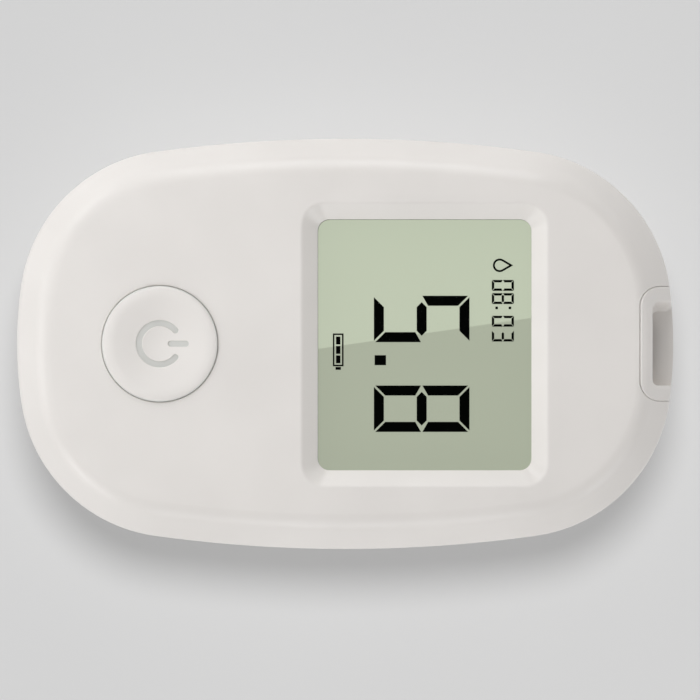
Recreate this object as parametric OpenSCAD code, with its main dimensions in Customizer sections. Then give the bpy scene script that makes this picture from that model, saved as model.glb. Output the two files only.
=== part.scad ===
// Handheld blood glucose meter, lying on its back with the display up.
// X runs along the length with the test strip port at +X, Y runs across, Z points out of the display.
// The origin is on the table under the middle of the body. All sizes are in millimetres.

/* [Body] */
// Length of the body along X
body_length = 92; // [90:0.5:96]
// Width of the body along Y
body_width = 57.5; // [56.5:0.5:60]
// Height of the front face above the table
face_height = 20; // [19.5:0.25:21.5]
// Height of the parting line between the two shells
parting_height = 10; // [9.5:0.25:10.5]
// Radius of the two long sides, seen from above
side_radius = 194; // [180:1:210]
// Radius of the two ends, seen from above
end_radius = 57; // [54:0.5:62]
// Radius of the four corners, seen from above
corner_radius = 22; // [20:0.5:23]
// Wall thickness of both shells
shell_wall = 1.8; // [1.6:0.1:2]
// Width of the rounded border round the front face
front_border_width = 5.6; // [5:0.1:6.4]
// Height of the rounded border round the front face
front_border_height = 7; // [6:0.25:8]
// Width of the rounded border round the back
back_border_width = 7; // [6:0.25:8]
// Height of the rounded border round the back
back_border_height = 6.5; // [5.5:0.25:7.5]
// Height of the tongue that locates one shell in the other
tongue_height = 1.2; // [0.8:0.1:1.6]
// Thickness of that tongue
tongue_thickness = 0.8; // [0.6:0.1:0.9]

/* [Window] */
// Distance from the port end to the near edge of the window
window_end_distance = 19.95; // [19.75:0.05:21]
// Offset of the window across the body
window_offset = -0.15; // [-0.5:0.05:0.5]
// Length of the window along X
window_length = 29.9; // [28:0.1:30.5]
// Width of the window along Y
window_width = 35.1; // [32:0.1:36]
// Corner radius of the window
window_radius = 1.65; // [1:0.05:2]
// Width of the sloped recess round the window
bevel_width = 2.25; // [1.5:0.05:2.5]
// Depth of the sloped recess
bevel_depth = 1.2; // [0.8:0.1:1.4]
// Thickness of the clear lens
lens_thickness = 1; // [0.8:0.1:1.2]
// How far the lens reaches past the window on each side
lens_margin = 2.2; // [1.8:0.1:2.4]
// Thickness of the adhesive frame above the lens
adhesive_thickness = 0.1; // [0.1:0.05:0.2]
// Width of the adhesive frame
adhesive_width = 1.4; // [1:0.1:1.6]

/* [Display] */
// Thickness of the front polarizer
polarizer_thickness = 0.2; // [0.15:0.05:0.3]
// Thickness of each glass
glass_thickness = 0.7; // [0.5:0.1:0.8]
// Thickness of the liquid crystal layer, drawn thicker than it is
crystal_layer = 0.1; // [0.1:0.05:0.2]
// Thickness of the rear polarizer with its reflector
reflector_thickness = 0.3; // [0.2:0.05:0.4]
// How far the glass reaches past the window on each side
glass_margin = 1.6; // [1.3:0.1:1.7]
// Width of the front glass ledge that carries the contact pads
contact_ledge = 2.4; // [2.2:0.1:2.6]
// Width of the edge seal between the glasses
seal_width = 0.9; // [0.6:0.1:1.1]
// Wall thickness of the display holder
holder_wall = 1.2; // [1:0.1:1.3]
// Thickness of the striped rubber connector
zebra_thickness = 1.8; // [1.6:0.1:1.9]
// Length of the striped rubber connector
zebra_length = 32; // [28:1:34]

/* [Numbers] */
// Height of the two large digits
big_digit_height = 13.4; // [11:0.1:14]
// Width of the two large digits
big_digit_width = 6.5; // [5.5:0.1:7]
// Stroke of the large digits
big_stroke = 1.4; // [1:0.1:1.6]
// Height of the clock digits
small_digit_height = 3.1; // [2.6:0.1:3.3]
// Width of the clock digits
small_digit_width = 1.53; // [1.3:0.01:1.6]
// Stroke of the clock digits
small_stroke = 0.34; // [0.24:0.02:0.4]

/* [Button] */
// Distance from the far end to the middle of the button
button_end_distance = 20.05; // [19.5:0.05:21]
// Diameter of the button cap
button_diameter = 16.2; // [15:0.1:17]
// Gap between the cap and its hole, all round
button_gap = 0.17; // [0.1:0.01:0.25]
// How far the rim of the cap stands above the face
button_rise = 0.5; // [0.3:0.1:0.8]
// Depth of the dish below the rim
dish_depth = 0.9; // [0.6:0.1:1]
// Width of the rounded rim
rim_width = 1.3; // [1:0.1:1.8]
// Travel of the button
button_travel = 0.5; // [0.3:0.05:0.6]
// Depth of the engraved sign
sign_depth = 0.25; // [0.15:0.05:0.3]
// Radius of the engraved ring
sign_radius = 2.55; // [2.2:0.05:2.8]
// Stroke of the engraved sign
sign_stroke = 0.8; // [0.6:0.05:1]

/* [Strip port] */
// Length of the insert, from the port end inwards
port_length = 4.8; // [4.6:0.1:5.2]
// Width of the insert
port_width = 16.1; // [15:0.1:16.2]
// Corner radius of the insert
port_radius = 3.5; // [2.5:0.1:3.7]
// Gap between the insert and the front shell
port_gap = 0.12; // [0.08:0.01:0.2]
// Length of the recess, from the port end inwards
recess_length = 3; // [2.6:0.1:3.2]
// Width of the recess
recess_width = 11.7; // [10:0.1:12]
// Corner radius of the recess
recess_radius = 0.8; // [0.5:0.1:1.2]
// Width of the strip slot
strip_slot_width = 6.8; // [6.4:0.1:7.4]
// Height of the strip slot
strip_slot_height = 1.3; // [1:0.1:1.5]
// Height of the strip path above the board
strip_rise = 0.5; // [0.4:0.05:0.7]

/* [Board] */
// Thickness of the circuit board
board_thickness = 1.2; // [1:0.1:1.4]
// Height of the board's upper face above the parting line
board_lift = 2.2; // [2:0.1:2.4]
// How far the board's edge lies inside the outline
board_inset = 3.4; // [3:0.1:4]
// Side of the square push switch
switch_side = 6; // [5:0.1:6.2]
// Height of the switch body
switch_height = 3.5; // [3:0.1:3.7]
// Diameter of the switch plunger
plunger_diameter = 3.5; // [3:0.1:3.6]
// How far the plunger stands out of the switch
plunger_rise = 1; // [0.7:0.1:1.2]
// Side of the square microcontroller
controller_side = 10; // [7:0.5:10]
// Height of the microcontroller
controller_height = 1.4; // [1:0.1:1.6]
// Length of the memory chip
memory_length = 5; // [4:0.1:6]
// Width of the memory chip
memory_width = 4; // [3:0.1:4]
// Height of the memory chip
memory_height = 1.5; // [1:0.1:1.75]
// Length of the crystal
crystal_length = 6; // [5:0.1:8]
// Diameter of the crystal
crystal_diameter = 2; // [1.5:0.1:2]
// Length of a chip capacitor
capacitor_length = 1.6; // [1:0.1:2]
// Width and height of a chip capacitor
capacitor_width = 0.8; // [0.5:0.05:1.25]
// Diameter of the buzzer
buzzer_diameter = 9; // [7:0.25:9]
// Height of the buzzer
buzzer_height = 2.5; // [1.9:0.1:2.5]

/* [Battery] */
// Diameter of a coin cell
cell_diameter = 20; // [18:0.5:20]
// Thickness of a coin cell
cell_thickness = 3.2; // [2.5:0.1:3.2]
// Gap between the two cells
cell_gap = 1.2; // [1:0.1:1.8]
// Room between a cell and the wall of the bay
cell_room = 0.6; // [0.5:0.05:0.8]
// Wall thickness of the battery bay
bay_wall = 1; // [0.8:0.1:1.2]
// Thickness of the battery door
door_thickness = 1.6; // [1.4:0.1:1.6]
// How far the door's opening reaches past the bay at each long side
door_side_overlap = 2; // [1.6:0.1:2.4]
// How far the door's opening reaches past the bay at each end
door_end_overlap = 2.5; // [2.4:0.1:3]
// Gap between the door and the back shell
door_gap = 0.2; // [0.15:0.01:0.3]
// Corner radius of the door
door_radius = 3; // [2:0.25:4]

/* [Fasteners and feet] */
// Distance from each end to the case screws
screw_end_distance = 13.5; // [13:0.1:14]
// Distance from each side to the case screws
screw_side_distance = 16.25; // [16:0.05:17]
// Shank diameter of a case screw
case_screw_diameter = 2.2; // [2:0.1:2.4]
// Length of a case screw under its head
case_screw_length = 11; // [9:0.5:12]
// Diameter of a case screw boss
case_boss_diameter = 5.6; // [5:0.1:5.8]
// Shank diameter of a board screw
board_screw_diameter = 1.6; // [1.4:0.1:1.8]
// Length of a board screw under its head
board_screw_length = 4.5; // [4:0.25:5]
// Diameter of a board screw boss
board_boss_diameter = 4.2; // [3.8:0.1:4.4]
// Diameter of a foot pad
foot_diameter = 6; // [5.4:0.1:6.4]
// Thickness of a foot pad
foot_thickness = 1; // [0.8:0.1:1.2]
// How far a foot pad is let into the back
foot_recess = 0.4; // [0.3:0.05:0.5]

/* [Hidden] */

shell_color = "#e9e6e1";
glass_color = "#b9c6b4";
metal_color = "#b9bcc0";
gold_color = "#c9a24a";
black_color = "#2a2c2d";

// Facets: round features, and steps along each kind of arc of the outline and of the border
$fn = 64;
end_steps = 4;
corner_steps = 12;
side_steps = 8;
border_step = 9;
dish_steps = 12;
rim_step = 15;
// Small lengths: an overlap that makes a cut or a joint clean, how far a cut runs past an open side,
// and the usual gaps between two seated pieces
clean = 0.5;
past = 1;
thin = 0.01;
seat_gap = 0.1;
slide_gap = 0.15;

// Outline: eight arcs, each tangent to the next
half_length = body_length / 2;
half_width = body_width / 2;
side_centre = [0, half_width - side_radius];
end_centre = [half_length - end_radius, 0];
centre_distance = norm(end_centre - side_centre);
side_reach = side_radius - corner_radius;
end_reach = end_radius - corner_radius;
along_centres = (side_reach * side_reach - end_reach * end_reach + centre_distance * centre_distance)
    / (2 * centre_distance);
across_centres = sqrt(side_reach * side_reach - along_centres * along_centres);
centre_direction = (end_centre - side_centre) / centre_distance;
corner_centre = side_centre + along_centres * centre_direction
    + across_centres * [centre_direction[1], -centre_direction[0]];
end_angle = atan2(corner_centre[1] - end_centre[1], corner_centre[0] - end_centre[0]);
side_angle = atan2(corner_centre[1] - side_centre[1], corner_centre[0] - side_centre[0]);

// Heights from the table up
back_height = foot_thickness - foot_recess;
floor_height = back_height + shell_wall;
door_top = back_height + door_thickness;
cell_clearance = 0.3;
cell_bottom = door_top + cell_clearance;
cell_top = cell_bottom + cell_thickness;
spring_room = 0.6;
bay_ceiling = cell_top + spring_room;
bay_top = bay_ceiling + bay_wall;
board_top = parting_height + board_lift;
board_bottom = board_top - board_thickness;
strip_floor = board_top + strip_rise;
recess_drop = 0.3;
recess_floor = strip_floor - recess_drop;

// Heights from the face down
face_under = face_height - shell_wall;
lens_top = face_under - adhesive_thickness;
lens_bottom = lens_top - lens_thickness;
lens_air_gap = 0.3;
lcd_top = lens_bottom - lens_air_gap;
front_glass_top = lcd_top - polarizer_thickness;
front_glass_bottom = front_glass_top - glass_thickness;
rear_glass_top = front_glass_bottom - crystal_layer;
rear_glass_bottom = rear_glass_top - glass_thickness;
lcd_bottom = rear_glass_bottom - reflector_thickness;

// Places in the plan
window_x = half_length - window_end_distance - window_length / 2;
button_x = button_end_distance - half_length;
port_x = half_length - port_length;
recess_x = half_length - recess_length;
screw_x = half_length - screw_end_distance;
screw_y = half_width - screw_side_distance;
case_screw_places = [for (sx = [-1, 1], sy = [-1, 1]) [sx * screw_x, sy * screw_y]];

// Display sizes
glass_length = window_length + 2 * glass_margin;
glass_width = window_width + 2 * glass_margin;
front_glass_length = glass_length + contact_ledge;
front_glass_x = window_x - contact_ledge / 2;
holder_length = front_glass_length + 2 * (slide_gap + holder_wall);
holder_width = glass_width + 2 * (slide_gap + holder_wall);
lens_length = window_length + 2 * lens_margin;
lens_width = window_width + 2 * lens_margin;
lens_rim = 0.8;
zebra_x = window_x - glass_length / 2 - contact_ledge / 2;

// Button
button_radius = button_diameter / 2;
button_top = face_height + button_rise;
dish_radius = button_radius - rim_width;
cap_wall = 1.3;
cap_underside = button_top - dish_depth - cap_wall;
flange_reach = 1.1;
flange_thickness = 0.9;
flange_top = face_under - seat_gap;
flange_bottom = flange_top - flange_thickness;
skirt_wall = 1.2;
stem_radius = 1.8;
switch_top = board_top + switch_height;
switch_floor = 1;
cover_thickness = 0.2;
plunger_top = switch_top + plunger_rise;
stem_gap = 0.02;
collar_gap = 0.3;
collar_wall = 1;

// Board screws: two beside the display holder, one beyond the button
board_boss_radius = board_boss_diameter / 2;
holder_gap = 0.6;
board_screw_x = front_glass_x - holder_length / 2 - holder_gap - board_boss_radius;
board_screw_y = 19;
end_screw_x = button_x - button_radius - flange_reach - collar_gap - collar_wall - board_boss_radius + clean;
board_screw_places = [[board_screw_x, board_screw_y], [board_screw_x, -board_screw_y], [end_screw_x, 0]];
board_head_height = 1.1;
board_head_radius = 1.7;

// Case screws
case_boss_radius = case_boss_diameter / 2;
case_head_radius = 2.1;
case_head_height = 1.5;
head_depth = 2.2;
head_seat = back_height + foot_recess + head_depth;
thread_gap = 0.03;

// Battery bay and door
cell_radius = cell_diameter / 2;
cell_pitch = cell_diameter + cell_gap;
bay_length = cell_pitch + cell_diameter + cell_room;
bay_width = cell_diameter + 2 * cell_room;
opening_length = bay_length + 2 * door_end_overlap;
opening_width = bay_width + 2 * door_side_overlap;
door_length = opening_length - 2 * door_gap;
door_width = opening_width - 2 * door_gap;
hinge_x = door_length / 2;
hinge_overlap = 1;
tab_reach = 1.6;
tab_thickness = 0.7;
tab_width = 3;
tab_y = 7.5;
tab_room = 0.3;
latch_thickness = 0.8;
latch_width = 8;
latch_height = 2.4;
latch_x = seat_gap - door_length / 2;
spring_thickness = 0.3;
spring_width = 4;
spring_reach = 5;
pad_reach = 1.5;
contact_gap = 0.03;
contact_thickness = 0.4;
contact_width = 4.4;

// Strip connector
connector_gap = 0.3;
connector_end = port_x - connector_gap;
connector_length = 11;
connector_start = connector_end - connector_length;
connector_width = 13;
connector_height = 3.4;
contact_pitch = 1.2;
contact_count = 5;
contact_leaf = 0.6;
contact_places = [for (i = [0 : contact_count - 1]) (i - (contact_count - 1) / 2) * contact_pitch];
tail_inset = 0.8;
tail_x = connector_start + tail_inset;

// ---------------------------------------------------------------- outline and shell surfaces

// Points along an arc, both ends included
function arc(centre, radius, from, to, steps) =
    [for (i = [0 : steps]) centre + radius * [cos(from + (to - from) * i / steps),
                                              sin(from + (to - from) * i / steps)]];

function without_last(list) = [for (i = [0 : len(list) - 2]) list[i]];

// A quarter of the outline moved inwards, from the port end to the middle of the long side
function quarter(inset) = concat(
    without_last(arc(end_centre, end_radius - inset, 0, end_angle, end_steps)),
    without_last(arc(corner_centre, corner_radius - inset, end_angle, side_angle, corner_steps)),
    arc(side_centre, side_radius - inset, side_angle, 90, side_steps));

quarter_count = end_steps + corner_steps + side_steps;
loop_count = 4 * quarter_count;

// The whole outline moved inwards, anticlockwise from the port end
function outline(inset) = let (q = quarter(inset)) concat(
    [for (i = [0 : quarter_count - 1]) q[i]],
    [for (i = [quarter_count : -1 : 1]) [-q[i][0], q[i][1]]],
    [for (i = [0 : quarter_count - 1]) [-q[i][0], -q[i][1]]],
    [for (i = [quarter_count : -1 : 1]) [q[i][0], -q[i][1]]]);

// Closed solid through the outline at each [inset, height] of a profile that goes upwards
module stack(profile) {
    levels = len(profile);
    points = [for (level = profile) for (p = outline(level[0])) [p[0], p[1], level[1]]];
    sides = [for (k = [0 : levels - 2], i = [0 : loop_count - 1])
        let (j = (i + 1) % loop_count, a = k * loop_count, b = a + loop_count)
        each [[a + i, b + i, b + j], [a + i, b + j, a + j]]];
    base = [for (i = [0 : loop_count - 1]) i];
    lid = [for (i = [loop_count - 1 : -1 : 0]) (levels - 1) * loop_count + i];
    polyhedron(points, concat([base], sides, [lid]));
}

// Quarter ellipse from the vertical side up to the flat face, or down to the flat back
function border(start_inset, width, height, level, direction) =
    [for (t = [0 : border_step : 90])
        [start_inset + width * (1 - cos(t)), level + direction * height * sin(t)]];

function reversed(list) = [for (i = [len(list) - 1 : -1 : 0]) list[i]];

front_level = face_height - front_border_height;
back_level = back_height + back_border_height;
front_outside = concat([[0, parting_height]],
    border(0, front_border_width, front_border_height, front_level, 1));
front_inside = concat([[shell_wall, parting_height - past]],
    border(shell_wall, front_border_width - shell_wall, front_border_height - shell_wall, front_level, 1));
back_outside = concat(reversed(border(0, back_border_width, back_border_height, back_level, -1)),
    [[0, parting_height]]);
back_inside_border = border(shell_wall, back_border_width - shell_wall, back_border_height - shell_wall,
                            back_level, -1);
back_inside = concat(reversed(back_inside_border), [[shell_wall, parting_height + past]]);

// ---------------------------------------------------------------- flat shapes

// Rectangle with round corners, centred
module round_rect(length, width, radius) {
    square([length - 2 * radius, width], center = true);
    square([length, width - 2 * radius], center = true);
    for (sx = [-1, 1], sy = [-1, 1])
        translate([sx * (length / 2 - radius), sy * (width / 2 - radius)])
            circle(radius);
}

// Rectangle with two round corners at its -X end at x, reaching past the port end
module port_outline(x, width, radius) {
    reach = half_length + past - x;
    translate([x + radius, -width / 2])
        square([reach - radius, width]);
    translate([x, radius - width / 2])
        square([reach, width - 2 * radius]);
    for (side = [-1, 1])
        translate([x + radius, side * (width / 2 - radius)])
            circle(radius);
}

// Upright plate of the given thickness between two heights
module slab(from, to) {
    translate([0, 0, from])
        linear_extrude(to - from)
            children();
}

// Shape drawn in X and Z, as thick as given along Y
module side_plate(y, thickness) {
    translate([0, y + thickness / 2, 0])
        rotate([90, 0, 0])
            linear_extrude(thickness)
                children();
}

// ---------------------------------------------------------------- casings

module tongue_ring(outer, inner, from, to) {
    slab(from, to)
        difference() {
            polygon(outline(outer));
            polygon(outline(inner));
        }
}

module top_shell() {
    rebate = shell_wall - tongue_thickness - slide_gap;
    color(shell_color)
    difference() {
        union() {
            difference() {
                stack(front_outside);
                stack(front_inside);
                slab(parting_height - past, parting_height + tongue_height + slide_gap)
                    polygon(outline(rebate));
            }
            for (p = case_screw_places)
                translate(p)
                    slab(parting_height + seat_gap, face_under + clean)
                        circle(case_boss_radius);
            for (p = board_screw_places)
                translate(p)
                    slab(board_top, face_under + clean)
                        circle(board_boss_radius);
            button_collar();
            lens_pocket();
        }
        translate([button_x, 0])
            slab(face_under - clean, face_height + clean)
                circle(button_radius + button_gap);
        window_recess();
        slab(parting_height - past, face_height + past)
            port_outline(port_x - port_gap, port_width + 2 * port_gap, port_radius + port_gap);
        for (p = case_screw_places)
            translate(p)
                slab(parting_height, head_seat + case_screw_length + clean)
                    circle(case_screw_diameter / 2 + thread_gap);
        for (p = board_screw_places)
            translate(p)
                slab(board_top - clean, board_bottom + board_screw_length + clean)
                    circle(board_screw_diameter / 2 + thread_gap);
    }
}

// Ring under the face that keeps the button's flange in line
module button_collar() {
    inner = button_radius + flange_reach + collar_gap;
    translate([button_x, 0])
        slab(flange_bottom, face_under + clean)
            difference() {
                circle(inner + collar_wall);
                circle(inner);
            }
}

// Low rim under the face that locates the lens
module lens_pocket() {
    translate([window_x, window_offset])
        slab(lens_bottom, face_under + clean)
            difference() {
                round_rect(lens_length + 2 * (slide_gap + lens_rim), lens_width + 2 * (slide_gap + lens_rim),
                           window_radius);
                square([lens_length + 2 * slide_gap, lens_width + 2 * slide_gap], center = true);
            }
}

module window_recess() {
    outer_length = window_length + 2 * bevel_width;
    outer_width = window_width + 2 * bevel_width;
    outer_radius = window_radius + bevel_width / 2;
    translate([window_x, window_offset]) {
        slab(face_under - clean, face_height)
            round_rect(window_length, window_width, window_radius);
        hull() {
            slab(face_height - bevel_depth, face_height - bevel_depth + thin)
                round_rect(window_length, window_width, window_radius, $fn = 32);
            slab(face_height, face_height + thin)
                round_rect(outer_length, outer_width, outer_radius, $fn = 32);
        }
    }
}

module bottom_shell() {
    rebate = shell_wall - tongue_thickness;
    bay_outer_length = bay_length + 2 * bay_wall;
    bay_outer_width = bay_width + 2 * bay_wall;
    color(shell_color)
    difference() {
        union() {
            difference() {
                stack(back_outside);
                stack(back_inside);
            }
            difference() {
                tongue_ring(rebate, shell_wall, parting_height - clean, parting_height + tongue_height);
                slab(parting_height, parting_height + tongue_height + past)
                    port_outline(port_x - port_gap, port_width + 2 * port_gap, port_radius + port_gap);
            }
            for (p = case_screw_places)
                translate(p)
                    slab(floor_height - clean, parting_height - seat_gap)
                        circle(case_boss_radius);
            slab(floor_height - clean, bay_top)
                square([bay_outer_length, bay_outer_width], center = true);
        }
        slab(back_height - past, door_top + seat_gap)
            round_rect(opening_length, opening_width, door_radius + door_gap);
        slab(back_height - past, bay_ceiling)
            square([bay_length, bay_width], center = true);
        battery_contact_slots();
        door_tab_pockets();
        slab(door_top, floor_height + clean)
            translate([-opening_length / 2, -latch_width / 2 - tab_room])
                square([door_end_overlap - bay_wall, latch_width + 2 * tab_room]);
        finger_scoop();
        for (p = case_screw_places)
            translate(p) {
                slab(back_height - past, back_height + foot_recess)
                    circle(foot_diameter / 2 + slide_gap);
                slab(back_height, head_seat)
                    circle(case_head_radius + slide_gap);
                slab(head_seat - clean, parting_height + past)
                    circle(case_screw_diameter / 2 + slide_gap);
            }
    }
}

// Slots in the roof of the battery bay for the springs and the side contacts
module battery_contact_slots() {
    room = 2 * cell_clearance;
    for (side = [-1, 1])
        slab(bay_ceiling - clean, bay_top + clean) {
            translate([side * cell_pitch / 2 - spring_reach + spring_thickness / 2, 0])
                square([spring_thickness + room, spring_width + room], center = true);
            translate([side * cell_pitch / 2, cell_radius + contact_gap + contact_thickness / 2])
                square([contact_width + 2 * slide_gap, contact_thickness + 2 * slide_gap], center = true);
        }
}

// Pockets that the door's tabs hook into, with room for them to turn
module door_tab_pockets() {
    width = tab_width + 2 * tab_room;
    for (side = [-1, 1])
        translate([0, side * tab_y]) {
            slab(door_top - tab_thickness - seat_gap, floor_height + past)
                translate([hinge_x - clean, -width / 2])
                    square([clean + tab_reach + tab_room, width]);
            slab(door_top, door_top + tab_reach)
                translate([hinge_x - tab_reach - tab_room, -width / 2])
                    square([2 * tab_reach + 2 * tab_room, width]);
        }
}

scoop_radius = 9;
scoop_depth = 0.9;
scoop_distance = 2;

// Shallow hollow in the back, beside the door's latch, for a fingertip
module finger_scoop() {
    translate([-opening_length / 2 - scoop_distance, 0, back_height + scoop_depth - scoop_radius])
        sphere(scoop_radius);
}

module strip_port() {
    ear_thickness = 1.4;
    ear_reach = 1.5;
    ear_bottom = parting_height + tongue_height + 2 * slide_gap;
    ear_end = port_width / 2 + ear_reach;
    wall_radius = corner_radius - shell_wall;
    wall_x = corner_centre[0] + sqrt(pow(wall_radius, 2) - pow(ear_end - corner_centre[1], 2));
    ear_x = wall_x - slide_gap - ear_thickness;
    color(shell_color)
    difference() {
        union() {
            intersection() {
                stack(front_outside);
                slab(parting_height + seat_gap, face_height + past)
                    port_outline(port_x, port_width, port_radius);
            }
            // Ears behind the upright part of the shell's wall keep the insert in
            slab(ear_bottom, front_level)
                translate([ear_x, -ear_end])
                    square([ear_thickness, 2 * ear_end]);
        }
        slab(recess_floor, face_height + past)
            port_outline(recess_x, recess_width, recess_radius);
        slab(recess_floor, strip_floor + strip_slot_height)
            translate([port_x - past, -strip_slot_width / 2])
                square([recess_x - port_x + 2 * past, strip_slot_width]);
    }
}

// ---------------------------------------------------------------- button and switch

// Height of the cap's upper surface at a distance from its axis: a cosine dish inside a round rim
function dish_height(r) = button_top - dish_depth * pow(cos(90 * r / dish_radius), 2);

module button_cap() {
    rim_drop = 0.8;
    dish = [for (i = [0 : dish_steps]) let (r = dish_radius * i / dish_steps) [r, dish_height(r)]];
    rim = [for (t = [90 - rim_step : -rim_step : 0])
        [dish_radius + rim_width * cos(t), button_top - rim_drop * (1 - sin(t))]];
    skirt_inner = button_radius - skirt_wall;
    below = [[button_radius, flange_top], [button_radius + flange_reach, flange_top],
             [button_radius + flange_reach, flange_bottom], [skirt_inner, flange_bottom],
             [skirt_inner, cap_underside], [stem_radius, cap_underside],
             [stem_radius, plunger_top + stem_gap], [0, plunger_top + stem_gap]];
    color(shell_color)
    translate([button_x, 0])
    difference() {
        rotate_extrude()
            polygon(concat(dish, rim, below));
        slab(button_top - dish_depth - sign_depth, button_top + past)
            power_sign();
    }
}

// Open ring with a bar through its gap, which points along +X
module power_sign() {
    gap_angle = 32;
    bar_share = 0.4;
    far = 2 * sign_radius;
    difference() {
        circle(sign_radius + sign_stroke / 2);
        circle(sign_radius - sign_stroke / 2);
        polygon([[0, 0], [far, far * tan(gap_angle)], [far, -far * tan(gap_angle)]]);
    }
    translate([bar_share * sign_radius, -sign_stroke / 2])
        square([sign_radius, sign_stroke]);
}

module switch_body() {
    pocket = plunger_diameter / 2 + seat_gap;
    color(black_color)
    translate([button_x, 0])
    difference() {
        slab(board_top, switch_top - cover_thickness)
            square([switch_side, switch_side], center = true);
        slab(board_top + switch_floor, switch_top)
            circle(pocket);
    }
}

module switch_cover() {
    color(metal_color)
    translate([button_x, 0])
    slab(switch_top - cover_thickness, switch_top)
        difference() {
            square([switch_side, switch_side], center = true);
            circle(plunger_diameter / 2 + seat_gap);
        }
}

module switch_plunger() {
    color(black_color)
    translate([button_x, 0])
    slab(board_top + switch_floor + button_travel + seat_gap, plunger_top)
        circle(plunger_diameter / 2);
}

// ---------------------------------------------------------------- window and display

module window_lens() {
    color("#dfe6e2", 0.4)
    translate([window_x, window_offset])
    slab(lens_bottom, lens_top)
        square([lens_length, lens_width], center = true);
}

module lens_adhesive() {
    outer = lens_margin - slide_gap;
    inner = outer - adhesive_width;
    color(black_color)
    translate([window_x, window_offset])
    slab(lens_top, face_under)
        difference() {
            square([window_length + 2 * outer, window_width + 2 * outer], center = true);
            square([window_length + 2 * inner, window_width + 2 * inner], center = true);
        }
}

module glass_sheet(from, to, inset) {
    translate([window_x, window_offset])
    slab(from, to)
        square([glass_length - 2 * inset, glass_width - 2 * inset], center = true);
}

module lcd_polarizer() {
    color("#a9b59f", 0.6)
    glass_sheet(front_glass_top, lcd_top, clean);
}

module lcd_front_glass() {
    color(glass_color, 0.5)
    translate([front_glass_x, window_offset])
    slab(front_glass_bottom, front_glass_top)
        square([front_glass_length, glass_width], center = true);
}

module lcd_rear_glass() {
    color(glass_color)
    glass_sheet(rear_glass_bottom, rear_glass_top, 0);
}

module lcd_seal() {
    color("#8d9a86")
    difference() {
        glass_sheet(rear_glass_top, front_glass_bottom, 0);
        glass_sheet(rear_glass_top - clean, front_glass_bottom + clean, seal_width);
    }
}

module lcd_reflector() {
    color("#b7c2ae")
    glass_sheet(lcd_bottom, rear_glass_bottom, clean);
}

// Seven bars, in the order: top, upper right, lower right, bottom, lower left, upper left, middle
DIGIT_BARS = [[1, 1, 1, 1, 1, 1, 0], [0, 1, 1, 0, 0, 0, 0], [1, 1, 0, 1, 1, 0, 1], [1, 1, 1, 1, 0, 0, 1],
              [0, 1, 1, 0, 0, 1, 1], [1, 0, 1, 1, 0, 1, 1], [1, 0, 1, 1, 1, 1, 1], [1, 1, 1, 0, 0, 0, 0],
              [1, 1, 1, 1, 1, 1, 1], [1, 1, 1, 1, 0, 1, 1]];

// Bars of one digit in a box of width w and height h, its lower left corner at the origin
function digit_bars(w, h, t, g) = [
    [[g, h], [w - g, h], [w - t - g, h - t], [t + g, h - t]],
    [[w, h - g], [w, h / 2 + g / 2], [w - t, h / 2 + t / 2 + g], [w - t, h - t - g]],
    [[w, g], [w - t, t + g], [w - t, h / 2 - t / 2 - g], [w, h / 2 - g / 2]],
    [[g, 0], [t + g, t], [w - t - g, t], [w - g, 0]],
    [[0, g], [0, h / 2 - g / 2], [t, h / 2 - t / 2 - g], [t, t + g]],
    [[0, h - g], [t, h - t - g], [t, h / 2 + t / 2 + g], [0, h / 2 + g / 2]],
    [[t / 2 + g, h / 2], [t + g, h / 2 + t / 2], [w - t - g, h / 2 + t / 2],
     [w - t / 2 - g, h / 2], [w - t - g, h / 2 - t / 2], [t + g, h / 2 - t / 2]]];

module digit(number, w, h, t) {
    gap_share = 0.14;
    bars = digit_bars(w, h, t, gap_share * t);
    for (i = [0 : 6])
        if (DIGIT_BARS[number][i] == 1)
            polygon(bars[i]);
}

// Places on the display, measured from the middle of the window, with the digits' up along +X
big_digit_x = -7.1;
five_y = 6.88;
eight_y = -5.7;
point_y = -1.45;
point_size = [1.4, 1.6];
point_lift = 0.1;
clock_x = 9.43;
clock_places = [[0, 9.1], [8, 7.25], [0, 4.08], [3, 2]];
colon_y = 5.18;
colon_size = 0.36;
colon_shares = [0.22, 0.82];
drop_y = 11.15;
gauge_x = -12.85;
gauge_y = 1.6;

module lcd_segments() {
    color(black_color)
    translate([window_x, window_offset])
    slab(rear_glass_top, front_glass_bottom) {
        translate([big_digit_x, five_y])
            rotate(-90)
                digit(5, big_digit_width, big_digit_height, big_stroke);
        translate([big_digit_x, eight_y])
            rotate(-90)
                digit(8, big_digit_width, big_digit_height, big_stroke);
        translate([big_digit_x + point_lift, point_y - point_size[0]])
            square([point_size[1], point_size[0]]);
        for (place = clock_places)
            translate([clock_x, place[1]])
                rotate(-90)
                    digit(place[0], small_digit_width, small_digit_height, small_stroke);
        for (share = colon_shares)
            translate([clock_x + share * small_digit_height, colon_y])
                square(colon_size, center = true);
        translate([clock_x + small_digit_height / 2, drop_y])
            drop_sign();
        translate([gauge_x, gauge_y])
            battery_gauge();
    }
}

// Outline of a drop, its tip along +X
module drop_sign() {
    drop_radius = 0.95;
    drop_stroke = 0.28;
    difference() {
        drop_shape(drop_radius);
        drop_shape(drop_radius - drop_stroke);
    }
}

module drop_shape(radius) {
    shift = 0.45;
    touch_angle = 60;
    side = radius * [cos(touch_angle), sin(touch_angle)];
    translate([-shift, 0]) {
        circle(radius);
        polygon([side, [2 * radius, 0], [side[0], -side[1]]]);
    }
}

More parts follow.
